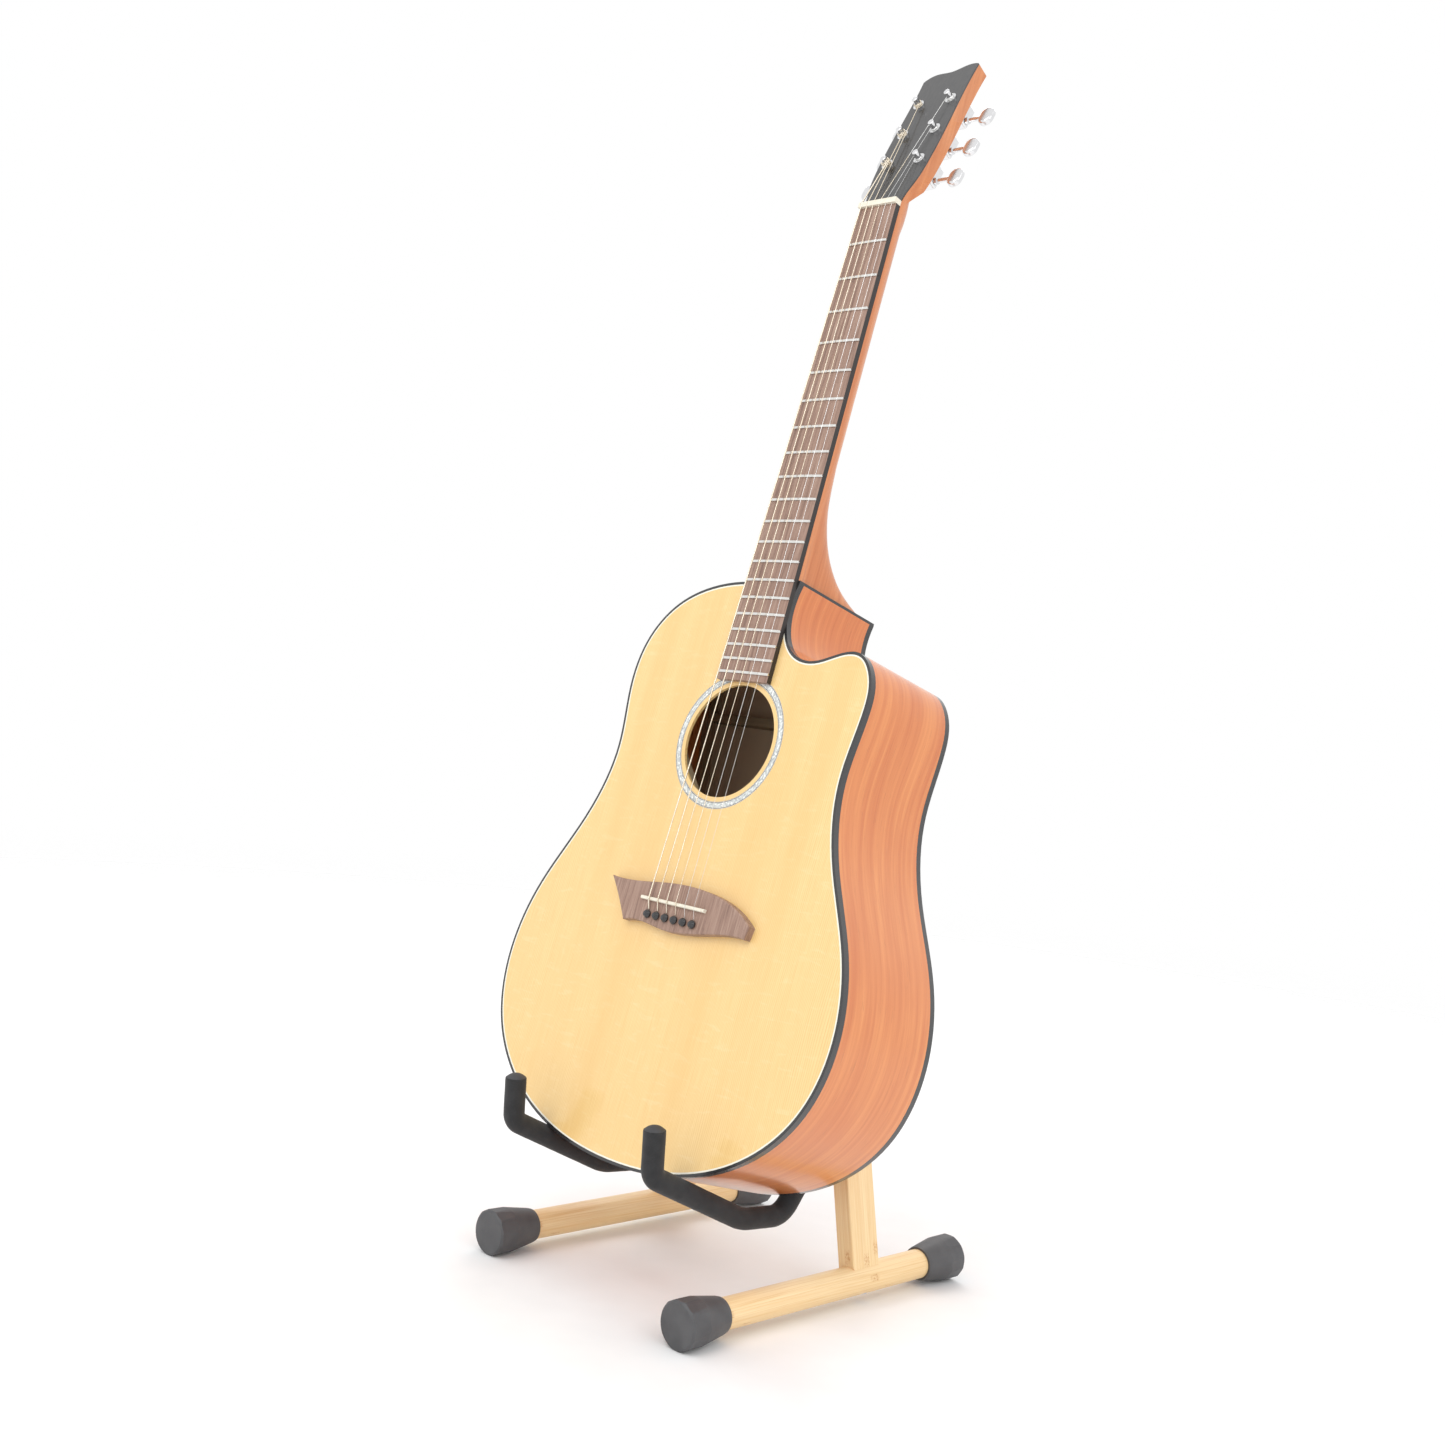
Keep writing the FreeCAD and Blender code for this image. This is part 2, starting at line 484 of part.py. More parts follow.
# ------------------------------------------------------------------ neck
def board_width(z):
    """Fretboard width, straight-tapered from the nut to the 14th fret and on."""
    return NUT_W + (HEEL_W - NUT_W) * (NUT_Z - z) / (NUT_Z - BODY_TOP)


def fret_z(number):
    return NUT_Z - SCALE_LENGTH * (1 - 2 ** (-number / 12))


BOARD_END = fret_z(FRETS) - 7
BOARD_CROWN_R = 400.0


def crown(height):
    """A long cylinder whose skin is the playing surface raised by `height`."""
    centre_y = -BOARD_T + BOARD_CROWN_R
    return rod(BOARD_CROWN_R + height, (0, centre_y, BOARD_END - 20), (0, centre_y, NUT_Z + 20))


def board_blank(y0, y1, inset=0.0):
    w0 = board_width(BOARD_END) / 2 - inset
    w1 = NUT_W / 2 - inset
    corners = [Vector(-w0, y0, BOARD_END), Vector(w0, y0, BOARD_END), Vector(w1, y0, NUT_Z), Vector(-w1, y0, NUT_Z)]
    return Part.Face(Part.makePolygon(corners + corners[:1])).extrude(Vector(0, y1 - y0, 0))


def fretboard():
    slots = [box((-40, 40), (-BOARD_T - 1, -BOARD_T + 2.2), (fret_z(n) - 0.3, fret_z(n) + 0.3))
             for n in range(1, FRETS + 1)]
    blank = board_blank(-BOARD_T - 1, 0).common(crown(0))
    save("fretboard", blank.cut(slots), GUITAR)
    strip = board_blank(-BOARD_T - 3, 0, 0.4)
    band = crown(1.1).cut(crown(0))
    wires = []
    for number in range(1, FRETS + 1):
        z = fret_z(number)
        bead = band.common(box((-40, 40), (-BOARD_T - 3, 0), (z - 1.1, z + 1.1)))
        tang = crown(0.2).common(box((-40, 40), (-BOARD_T - 1, -BOARD_T + 2.2), (z - 0.3, z + 0.3)))
        wires.append(bead.fuse(tang).common(strip).removeSplitter())
    save("frets", Part.makeCompound(wires), GUITAR)
    nut = box((-NUT_W / 2, NUT_W / 2), (NUT_Y - 0.6, 0), (NUT_Z, NUT_Z + 5))
    notches = [rod(1.03 * r + 0.1, (x, NUT_Y, NUT_Z - 1), (x, NUT_Y, NUT_Z + 6))
               for x, r in zip(string_xs(NUT_SPREAD), STRING_R)]
    save("nut", nut.cut(notches), GUITAR)


def neck_section(width, depth, z):
    """A D-shaped section: flat in front, elliptical behind."""
    turns = [math.pi * k / 8 for k in range(9)]
    points = [Vector(width / 2 * math.cos(t), depth * math.sin(t) ** 0.8, z) for t in turns]
    curve = Part.BSplineCurve()
    curve.interpolate(points)
    return Part.Wire([curve.toShape(), Part.makeLine(Vector(-width / 2, 0, z), Vector(width / 2, 0, z))])


def headstock_wire():
    """Headstock outline: sides that flare from the nut, and a wavy top that rises to the treble corner."""
    top = smooth(HEAD_TOP)
    right = smooth([HEAD_TOP[-1], (HEAD_HALF, 100)] + HEAD_FLARE[::-1])
    left = smooth([(-x, z) for x, z in HEAD_FLARE] + [(-HEAD_HALF, 100), HEAD_TOP[0]])
    base = Part.makeLine(Vector(21.5, 0, 0), Vector(-21.5, 0, 0))
    return Part.Wire([top, right, base, left])


def heel_section(z, depth, squareness):
    """A closed outline across the heel: flat in front, rounded behind, boxier as squareness rises."""
    half = board_width(z) / 2 - 0.1
    turns = [math.pi * k / 12 for k in range(13)]
    power = 2 / squareness
    points = [Vector(math.copysign(abs(math.cos(t)) ** power, math.cos(t)) * half,
                     depth * abs(math.sin(t)) ** power, z) for t in turns]
    curve = Part.BSplineCurve()
    curve.interpolate(points)
    return Part.Wire([curve.toShape(), Part.makeLine(points[-1], points[0])])


def neck():
    foot = BODY_TOP + SHIM_T
    shaft = Part.makeLoft([neck_section(HEEL_W, 22, BODY_TOP), neck_section(NUT_W, 20, NUT_Z + 5)], True, True)
    shaft = shaft.cut(box((-40, 40), (-1, 40), (BODY_TOP - 1, foot)))
    sections = [heel_section(foot + rise, depth, square) for rise, depth, square in HEEL_SHAPE]
    heel = Part.makeLoft(sections, True, False)
    volute = Part.makeLoft([neck_section(NUT_W, 20, NUT_Z - 22), neck_section(NUT_W + 1, 22, NUT_Z + 3),
                            neck_section(NUT_W + 4, 16, NUT_Z + 26)], True, False)
    taper = Part.Face(Part.makePolygon([Vector(-40, y, z) for y, z in (
        (5, -1), (HEAD_T + 1, -1), (HEAD_T + 1, HEAD_TAPER), (5, -1))])).extrude(Vector(80, 0, 0))
    head = slab(headstock_wire(), 0, HEAD_T).cut(taper)
    head.Placement = GUITAR.inverse() * HEADSTOCK
    front = box((-80, 80), (-60, 0), (BODY_TOP - 10, NUT_Z + 200))
    tilted = box((-80, 80), (-60, 0), (-1, 200))
    tilted.Placement = GUITAR.inverse() * HEADSTOCK
    rod_slot = box((-3, 3), (-1, 9), (BODY_TOP, NUT_Z + 6))
    solid = shaft.fuse([heel, volute]).cut(front).fuse(head).cut(tilted).cut(rod_slot)
    solid = solid.cut(tuner_bores())
    save("neck", solid.removeSplitter(), GUITAR)
    save("truss_rod", rod(2.9, (0, 4, BODY_TOP + 4), (0, 4, NUT_Z + 2)), GUITAR)
    shim = box((-TOP_HALF, TOP_HALF), (0, 140), (BODY_TOP, foot)).common(dome(0))
    save("heel_trim", shim.cut(rod_slot), GUITAR)
    save("headstock_veneer", slab(headstock_wire(), -VENEER_T, 0).cut(head_bores()), HEADSTOCK)


# ------------------------------------------------------------------ tuners


def tuner_places():
    """Name, side and height of each tuner; one to six counts from the low string round to the high one."""
    bass = [(-1, z) for z in POST_HEIGHTS]
    treble = [(1, z) for z in POST_HEIGHTS[::-1]]
    return list(enumerate(bass + treble, start=1))


def head_bores():
    return [rod(BUSHING_R, (s * POST_X, -5, z), (s * POST_X, HEAD_T + 1, z)) for _, (s, z) in tuner_places()]


def tuner_bores():
    to_neck = GUITAR.inverse() * HEADSTOCK
    bores = head_bores()
    for bore in bores:
        bore.Placement = to_neck * bore.Placement
    return bores


def tuners():
    fixed = []
    for number, (side, z) in tuner_places():
        x = side * POST_X
        washer = rod(5.6, (x, -VENEER_T - WASHER_T, z), (x, -VENEER_T, z))
        bushing = rod(BUSHING_R, (x, -VENEER_T, z), (x, HEAD_T, z)).fuse(washer)
        bushing = bushing.cut(rod(POST_R + RUN, (x, -20, z), (x, HEAD_T + 1, z)))
        case = box((x - 8.5, x + 8.5), (HEAD_T, HEAD_T + 11), (z - 13, z + 9))
        corners = [e for e in case.Edges if e.BoundBox.YMin > HEAD_T + 0.1 or e.BoundBox.YLength > 5]
        case = case.makeFillet(2.5, corners)
        room = box((x - 6.8, x + 6.8), (HEAD_T + 1.6, HEAD_T + 9.4), (z - 11.2, z + 7.2))
        worm_z = z - WORM_DROP
        outlet = rod(2.0 + RUN, (x, SHAFT_Y, worm_z), (x + side * 12, SHAFT_Y, worm_z))
        case = case.cut([room, outlet, rod(POST_R + RUN, (x, 0, z), (x, HEAD_T + 3, z))])
        fixed += [bushing.removeSplitter(), case]
        post = rod(POST_R, (x, POST_TOP, z), (x, HEAD_T + 8.6, z))
        post = post.makeFillet(0.8, [e for e in post.Edges if e.BoundBox.YMax < POST_TOP + 0.1])
        post = post.cut(rod(0.9, (x - 9, -6.2, z), (x + 9, -6.2, z)))
        gear = rod(5.4, (x, HEAD_T + 3, z), (x, HEAD_T + 8, z))
        save("tuner_post_%d" % number, post.fuse(gear).removeSplitter(), HEADSTOCK)
        worm = rod(2.0, (x - side * 6, SHAFT_Y, worm_z), (x + side * 26, SHAFT_Y, worm_z))
        collar = rod(3.4, (x + side * 8.8, SHAFT_Y, worm_z), (x + side * 11.5, SHAFT_Y, worm_z))
        oval = hull_strip(7.2, 7.2, 5)
        grip = slab(oval, -3.2, 3.2)
        rims = [e for e in grip.Edges if e.BoundBox.YLength < 0.01]
        grip = moved(grip.makeFillet(2.2, rims), -2.5)
        grip.rotate(Vector(), Y_AXIS, 90)
        grip.translate(Vector(x + side * 31.5, SHAFT_Y, worm_z))
        button = worm.fuse([collar, grip]).removeSplitter()
        save("tuner_button_%d" % number, button, HEADSTOCK)
    save("tuner_housings", Part.makeCompound(fixed), HEADSTOCK)


# ------------------------------------------------------------------ strings
def run_of_string(points, radius):
    """Straight runs between points, with a slightly larger ball at each bend."""
    runs = [Part.makeCylinder(radius, (b - a).Length, a, b - a) for a, b in zip(points, points[1:])]
    balls = [Part.makeSphere(1.03 * radius, p) for p in points[1:]]
    return runs, balls


def post_turn(side, z, y, turn_r, radius, sweep):
    """One turn of string round a tuner post, starting on the post's inner side."""
    turn = Part.makeTorus(turn_r, radius, Vector(), Z_AXIS, -180, 180, sweep)
    turn.Placement = Placement(Vector(side * POST_X, y, z), Rotation(X_AXIS * -side, Z_AXIS, Y_AXIS * side, "XYZ"))
    return turn


def strings():
    to_guitar = GUITAR.inverse() * HEADSTOCK
    wires = []
    for number, (side, z) in tuner_places():
        radius = STRING_R[number - 1]
        turn_r = POST_R + radius + WRAP_GAP
        wrap_y = -VENEER_T - WASHER_T - 0.1 - 5.07 * radius
        start = to_guitar.multVec(Vector(side * (POST_X - turn_r), wrap_y, z))
        x_saddle = string_xs(SADDLE_SPREAD)[number - 1]
        points = [Vector(x_saddle, -BRIDGE_H - radius - 0.05, PIN_Z + PIN_HEAD_R + radius + 0.05),
                  Vector(x_saddle, SADDLE_Y - 1.03 * radius - 0.3, SADDLE_Z),
                  Vector(string_xs(NUT_SPREAD)[number - 1], NUT_Y, NUT_Z + 4.7), start]
        runs, balls = run_of_string(points, radius)
        turns = [post_turn(side, z, wrap_y + 2.02 * radius * k, turn_r, radius, sweep)
                 for k, sweep in enumerate(TURN_SWEEPS)]
        for turn in turns:
            turn.Placement = to_guitar * turn.Placement
        wires.append(runs[0].fuse(runs[1:] + balls + turns[:1]))
        wires += turns[1:]
    save("strings", Part.makeCompound(wires), GUITAR)


def main():
    os.makedirs("parts", exist_ok=True)
    for name, side in SIDES.items():
        base_and_leg(name, side)
        top_pad(name, side)
        arm(name, side)
    hinge()
    stay()
    body()
    bridge()
    fretboard()
    neck()
    tuners()
    strings()


if __name__ == "__main__":
    main()
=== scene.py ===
import json
import math

import bmesh
import bpy
from mathutils import Matrix, Vector, noise


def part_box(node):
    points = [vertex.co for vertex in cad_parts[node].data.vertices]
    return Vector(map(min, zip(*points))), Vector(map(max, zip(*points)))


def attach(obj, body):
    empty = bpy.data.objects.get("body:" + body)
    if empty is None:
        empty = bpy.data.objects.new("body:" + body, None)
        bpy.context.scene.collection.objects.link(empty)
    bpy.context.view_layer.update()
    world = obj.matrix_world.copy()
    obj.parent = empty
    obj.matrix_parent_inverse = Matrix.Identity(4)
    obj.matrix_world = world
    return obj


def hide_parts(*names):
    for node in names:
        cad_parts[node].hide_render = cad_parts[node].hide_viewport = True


# Acoustic guitar on a folding bamboo A-frame stand. Lengths are metres unless a name ends in _MM,
# but materials, the cradle arm and the soft pads are laid out in millimetres in their own frames.
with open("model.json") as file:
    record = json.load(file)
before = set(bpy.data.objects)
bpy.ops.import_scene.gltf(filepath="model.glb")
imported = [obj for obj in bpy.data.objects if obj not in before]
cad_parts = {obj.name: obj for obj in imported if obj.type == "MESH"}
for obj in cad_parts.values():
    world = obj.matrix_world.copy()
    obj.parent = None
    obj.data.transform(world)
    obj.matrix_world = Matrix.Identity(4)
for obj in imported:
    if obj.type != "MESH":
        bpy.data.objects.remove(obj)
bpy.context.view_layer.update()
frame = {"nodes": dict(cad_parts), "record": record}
NODES = frame["nodes"]
MM = 0.001

# ------------------------------------------------------------------ frames of the CAD parts
SPLAY, STAND_LEAN, GUITAR_LEAN = (math.radians(a) for a in (15.82, 2.81, 13.76))
TUBE_END_MM = 213.0           # leg foot to the front end of the base tube
FOOT_HALF_MM = 117.5
LEG_W_MM, LEG_T_MM, LEG_LENGTH_MM = 17.0, 34.2, 399.0
ARM_UP_MM = 117.0
TAIL_FORWARD_MM, TAIL_UP_MM = 197.48, 109.73
BODY_TOP_MM = 506.0
SCALE_MM = 648.0
NUT_MM = BODY_TOP_MM + SCALE_MM * (1 - 2 ** (-14 / 12))
BOARD_NUT_HALF_MM, BOARD_TAPER = 21.5, 0.0181
BACK_DEPTH_MM, BACK_DOME_MM, BACK_DOME_UP_MM = 125.0, 4570.0, 89.6


def shift(x=0.0, y=0.0, z=0.0):
    return Matrix.Translation(Vector((x, y, z)) * MM)


def turn(axis, angle):
    return Matrix.Rotation(angle, 4, axis)


low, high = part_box("left_base_tube")
FOOT = Matrix.Translation((0, low.y + TUBE_END_MM * MM, (low.z + high.z) / 2))
A_PLANE = FOOT @ turn("X", -STAND_LEAN)
LEG = {s: A_PLANE @ shift(x=s * FOOT_HALF_MM) @ turn("Y", -s * SPLAY) for s in (-1, 1)}
ARM = {s: LEG[s] @ shift(y=-LEG_T_MM / 2, z=ARM_UP_MM) @ turn("Y", s * SPLAY) for s in (-1, 1)}
GUITAR = (Matrix.Translation((0, FOOT.translation.y, 0)) @ shift(y=-TAIL_FORWARD_MM, z=TAIL_UP_MM)
          @ turn("X", -GUITAR_LEAN))
SIDES = {"left": -1, "right": 1}


# ------------------------------------------------------------------ materials
class Surface:
    """A procedural material laid out in millimetres in its own frame."""

    def __init__(self, name, place=Matrix.Identity(4), roughness=0.5, metallic=0.0, coat=0.0):
        self.material = bpy.data.materials.new(name)
        self.material.use_nodes = True
        self.tree = self.material.node_tree
        self.shader = self.tree.nodes["Principled BSDF"]
        self.shader.inputs["Roughness"].default_value = roughness
        self.shader.inputs["Metallic"].default_value = metallic
        self.shader.inputs["Coat Weight"].default_value = coat
        self.shader.inputs["Coat Roughness"].default_value = 0.12
        coordinates = self.node("TexCoord").outputs["Object"]
        mapping = self.node("Mapping", {"Vector": coordinates, "Location": place.translation,
                                        "Rotation": place.to_euler(), "Scale": (MM, MM, MM)},
                            vector_type="TEXTURE")
        self.where = mapping.outputs[0]
        split = self.node("SeparateXYZ", {0: self.where})
        self.x, self.y, self.z = split.outputs

    def node(self, kind, values=None, **settings):
        made = self.tree.nodes.new("ShaderNode" + kind)
        for key, value in settings.items():
            setattr(made, key, value)
        for key, value in (values or {}).items():
            if isinstance(value, bpy.types.NodeSocket):
                self.tree.links.new(value, made.inputs[key])
            else:
                made.inputs[key].default_value = value
        return made

    def math(self, operation, a, b=0.0, c=0.0):
        return self.node("Math", {0: a, 1: b, 2: c}, operation=operation).outputs[0]

    def point(self, x, y, z):
        return self.node("CombineXYZ", {0: x, 1: y, 2: z}).outputs[0]

    def scaled(self, x, y, z):
        """The frame's point with each axis scaled, for stretched patterns."""
        return self.node("VectorMath", {0: self.where, 1: (x, y, z)}, operation="MULTIPLY").outputs[0]

    def noise(self, where, detail=3.0, roughness=0.5, distortion=0.0, scale=1.0):
        return self.node("TexNoise", {"Vector": where, "Scale": scale, "Detail": detail,
                                      "Roughness": roughness, "Distortion": distortion}).outputs[0]

    def random(self, where):
        return self.node("TexWhiteNoise", {0: where}, noise_dimensions="3D").outputs[0]

    def cells(self, where, feature="F1", scale=1.0):
        return self.node("TexVoronoi", {"Vector": where, "Scale": scale}, feature=feature).outputs[0]

    def ramp(self, value, *stops):
        """Stops are (place, number or colour)."""
        made = self.node("ValToRGB", {0: value})
        elements = made.color_ramp.elements
        while len(elements) < len(stops):
            elements.new(0.5)
        for element, (place, colour) in zip(elements, stops):
            element.position = place
            element.color = (*colour, 1) if isinstance(colour, tuple) else (colour, colour, colour, 1)
        return made.outputs[0]

    def step(self, value, low, high):
        return self.node("MapRange", {0: value, 1: low, 2: high}, interpolation_type="SMOOTHSTEP").outputs[0]

    def mix(self, amount, a, b, blend="MIX"):
        made = self.node("Mix", {}, data_type="RGBA", blend_type=blend)
        for index, value in ((0, amount), (6, a), (7, b)):
            if isinstance(value, bpy.types.NodeSocket):
                self.tree.links.new(value, made.inputs[index])
            elif isinstance(value, tuple):
                made.inputs[index].default_value = (*value, 1)
            else:
                made.inputs[index].default_value = value
        return made.outputs[2]

    def colour(self, value):
        self.tree.links.new(value, self.shader.inputs["Base Color"])

    def roughness(self, value):
        self.tree.links.new(value, self.shader.inputs["Roughness"])

    def bump(self, height, depth_mm, strength=1.0):
        """Height runs 0 to 1 and stands for depth_mm of relief."""
        made = self.node("Bump", {"Height": height, "Distance": depth_mm * MM, "Strength": strength})
        self.tree.links.new(made.outputs[0], self.shader.inputs["Normal"])


def linear(red, green, blue):
    """A colour given as it looks on screen, 0 to 255."""
    levels = (c / 255 for c in (red, green, blue))
    return tuple(c / 12.92 if c <= 0.04 else ((c + 0.055) / 1.055) ** 2.4 for c in levels)


def bamboo(name, place, strip_x=5.7, strip_y=6.8):
    """Laminated bamboo along Z: strips glued side by side, long fibres, a speckled node here and there."""
    s = Surface(name, place, roughness=0.42, coat=0.12)
    across_x = s.math("DIVIDE", s.math("ADD", s.x, 200.0), strip_x)
    across_y = s.math("DIVIDE", s.math("ADD", s.y, 200.0), strip_y)
    column, row = (s.math("FLOOR", across) for across in (across_x, across_y))
    tone = s.random(s.point(column, row, 3.0))
    other = s.random(s.point(column, row, 11.0))
    offset = s.math("MULTIPLY", tone, 400.0)
    drift = s.point(s.math("MULTIPLY_ADD", s.x, 0.9, offset), s.math("MULTIPLY_ADD", s.y, 0.9, offset),
                    s.math("MULTIPLY", s.z, 0.012))
    fibres = s.noise(drift, detail=6.0, roughness=0.62)
    broad = s.noise(s.scaled(0.10, 0.10, 0.004), detail=2.0)
    tones = ((0.25, linear(228, 190, 132)), (0.5, linear(243, 214, 164)), (0.75, linear(250, 228, 186)))
    base = s.ramp(fibres, *tones)
    base = s.mix(s.math("MULTIPLY", tone, 0.35), base, linear(233, 196, 140))
    base = s.mix(s.step(broad, 0.45, 0.75), base, s.mix(0.25, base, linear(222, 176, 112)))
    lines = s.step(s.noise(drift, detail=2.0, scale=2.6), 0.66, 0.74)
    base = s.mix(s.math("MULTIPLY", lines, 0.30), base, linear(206, 156, 92))
    pitch = 178.0
    along = s.math("ADD", s.z, s.math("MULTIPLY_ADD", other, 26.0, 60.0))
    through = s.math("MODULO", s.math("ADD", along, 4 * pitch), pitch)
    from_node = s.math("ABSOLUTE", s.math("SUBTRACT", through, pitch / 2))
    band = s.math("SUBTRACT", 1.0, s.step(from_node, 2.5, 7.5))
    storey = s.math("FLOOR", s.math("DIVIDE", along, pitch))
    chosen = s.math("GREATER_THAN", s.random(s.point(column, row, storey)), 0.55)
    speckle = s.step(s.noise(s.scaled(1.5, 1.5, 0.55), detail=4.0, roughness=0.7), 0.50, 0.60)
    mark = s.math("MULTIPLY", s.math("MULTIPLY", band, chosen), s.math("MULTIPLY_ADD", speckle, 0.75, 0.10))
    base = s.mix(mark, base, linear(196, 130, 62))
    seams = [s.step(s.math("ABSOLUTE", s.math("SUBTRACT", s.math("FRACT", across), 0.5)), 0.475, 0.5)
             for across in (across_x, across_y)]
    seam = s.math("MAXIMUM", *seams)
    base = s.mix(s.math("MULTIPLY", seam, 0.28), base, linear(200, 148, 86))
    s.colour(base)
    s.bump(s.math("SUBTRACT", fibres, s.math("MULTIPLY", seam, 0.4)), 0.05, 0.5)
    return s.material


def spruce(name, place):
    """Book-matched spruce: fine dark growth lines along Z, wider towards the edges, with silk across them."""
    s = Surface(name, place, roughness=0.3, coat=0.6)
    across = s.math("ABSOLUTE", s.x)
    wander = s.noise(s.scaled(0.02, 0.02, 0.004), detail=2.0)
    lines_at = s.math("MULTIPLY_ADD", wander, 9.0, s.math("MULTIPLY", s.math("POWER", across, 0.92), 0.95))
    wave = s.math("SINE", s.math("MULTIPLY", lines_at, 6.0))
    spread = s.point(s.math("MULTIPLY", across, 0.35), 0.0, s.math("MULTIPLY", s.z, 0.003))
    uneven = s.noise(spread, detail=3.0)
    lines = s.math("MULTIPLY", s.step(wave, 0.1, 1.0), s.math("MULTIPLY_ADD", uneven, 0.9, 0.05))
    fine = s.noise(s.scaled(2.2, 2.2, 0.03), detail=4.0, roughness=0.6)
    silk = s.step(s.noise(s.scaled(0.05, 0.05, 0.22), detail=3.0, distortion=0.6), 0.52, 0.75)
    base = s.ramp(fine, (0.3, linear(231, 194, 128)), (0.7, linear(241, 209, 147)))
    base = s.mix(s.math("MULTIPLY", lines, 0.62), base, linear(206, 152, 82))
    base = s.mix(s.math("MULTIPLY", silk, 0.16), base, linear(250, 230, 184))
    bands = s.point(s.math("MULTIPLY", across, 0.03), 0.0, s.math("MULTIPLY", s.z, 0.0015))
    wide = s.step(s.noise(bands, detail=2.0), 0.45, 0.7)
    base = s.mix(s.math("MULTIPLY", wide, 0.35), base, linear(226, 182, 112))
    s.colour(base)
    s.bump(lines, 0.02, 0.35)
    return s.material


def mahogany(name, place, stretch, light, dark, coat=0.6, roughness=0.28, match=False):
    """Orange-brown mahogany; stretch is the pattern's scale along each axis, smallest along the grain.
    The matched one is the domed back: two mirrored halves, a dark centre line, and a bare inner face."""
    s = Surface(name, place, roughness=roughness, coat=coat)
    where = s.scaled(*stretch)
    if match:
        mirrored = zip((s.math("ABSOLUTE", s.x), s.y, s.z), stretch)
        where = s.point(*(s.math("MULTIPLY", axis, scale) for axis, scale in mirrored))
    figure = s.noise(where, detail=5.0, roughness=0.6, distortion=0.5)
    fine = s.noise(where, detail=3.0, scale=7.0, roughness=0.7)
    base = s.ramp(figure, (0.3, dark), (0.5, tuple((a + b) / 2 for a, b in zip(light, dark))), (0.68, light))
    pores = s.step(fine, 0.60, 0.72)
    base = s.mix(s.math("MULTIPLY", pores, 0.38), base, tuple(c * 0.42 for c in dark))
    broad = s.noise(s.scaled(0.012, 0.012, 0.012), detail=2.0)
    base = s.mix(s.math("MULTIPLY", s.step(broad, 0.4, 0.7), 0.3), base, dark)
    if match:
        base = s.mix(s.step(s.math("ABSOLUTE", s.x), 1.3, 1.1), base, linear(44, 38, 36))
        centre = (0.0, BACK_DEPTH_MM - math.sqrt(BACK_DOME_MM ** 2 - BACK_DOME_UP_MM ** 2), BACK_DOME_UP_MM)
        spoke = s.node("VectorMath", {0: s.where, 1: centre}, operation="SUBTRACT").outputs[0]
        from_centre = s.node("VectorMath", {0: spoke}, operation="LENGTH").outputs["Value"]
        depth = s.math("SUBTRACT", BACK_DOME_MM, from_centre)
        base = s.mix(s.step(depth, 1.2, 1.4), base, s.mix(0.9, base, linear(206, 190, 164)))
    s.colour(base)
    s.bump(s.math("SUBTRACT", figure, pores), 0.03, 0.3)
    return s.material


def rosewood(name, place, board=False):
    """Brown rosewood with open pores; on a fretboard, painted shade darkens the side edges to near black."""
    s = Surface(name, place, roughness=0.48, coat=0.08)
    figure = s.noise(s.scaled(0.35, 0.35, 0.018), detail=5.0, roughness=0.62, distortion=0.8)
    tones = ((0.28, linear(116, 88, 76)), (0.5, linear(152, 122, 107)), (0.72, linear(174, 146, 130)))
    base = s.ramp(figure, *tones)
    pores = s.step(s.noise(s.scaled(3.2, 3.2, 0.16), detail=3.0, roughness=0.7), 0.62, 0.70)
    base = s.mix(s.math("MULTIPLY", pores, 0.6), base, linear(66, 42, 34))
    if board:
        # Painted shade: the board's side faces and a thin strip along its top edges are darkened to near
        # black.
        half = s.math("MULTIPLY_ADD", s.math("SUBTRACT", NUT_MM, s.z), BOARD_TAPER, BOARD_NUT_HALF_MM)
        from_edge = s.math("SUBTRACT", half, s.math("ABSOLUTE", s.x))
        base = s.mix(s.step(from_edge, 0.35, 0.15), base, linear(40, 34, 32))
    s.colour(base)
    s.bump(s.math("SUBTRACT", 1.0, pores), 0.06, 0.5)
    return s.material


def moulded(name, dark, light, roughness=0.55, grain_mm=0.35, relief=0.05, coat=0.0):
    """Plastic or rubber from a mould: faint mottling and a fine sparked skin."""
    s = Surface(name, roughness=roughness, coat=coat)
    mottle = s.noise(s.scaled(0.06, 0.06, 0.06), detail=4.0)
    skin = s.noise(s.scaled(1 / grain_mm, 1 / grain_mm, 1 / grain_mm), detail=2.0)
    s.colour(s.ramp(mottle, (0.3, dark), (0.7, light)))
    s.roughness(s.math("MULTIPLY_ADD", skin, 0.16, roughness - 0.08))
    s.bump(skin, relief, 0.6)
    return s.material


def foam(name, dark, light):
    """Closed-cell foam with a dull, finely pitted skin; painted shade darkens the pits."""
    s = Surface(name, roughness=0.86)
    s.shader.inputs["Sheen Weight"].default_value = 0.12
    s.shader.inputs["Sheen Roughness"].default_value = 0.5
    cells = s.cells(s.scaled(1.5, 1.5, 1.5))
    mottle = s.noise(s.scaled(0.12, 0.12, 0.12), detail=5.0)
    base = s.ramp(mottle, (0.3, dark), (0.7, light))
    # Painted shade: the cell pits, low in the bump below, are darkened towards black.
    base = s.mix(s.step(cells, 0.25, 0.7), s.mix(0.35, base, (0.0, 0.0, 0.0)), base)
    s.colour(base)
    s.bump(s.step(cells, 0.05, 0.6), 0.14, 0.7)
    return s.material


def metal(name, colour, roughness, brushed=(0.4, 0.4, 0.4), relief=0.01):
    s = Surface(name, roughness=roughness, metallic=1.0)
    streaks = s.noise(s.scaled(*brushed), detail=4.0, roughness=0.65)
    smear = s.noise(s.scaled(0.05, 0.05, 0.05), detail=3.0)
    s.colour(s.ramp(streaks, (0.2, tuple(c * 0.86 for c in colour)), (0.8, colour)))
    s.roughness(s.math("MULTIPLY_ADD", smear, 0.14, roughness - 0.05))
    s.bump(streaks, relief, 0.3)
    return s.material


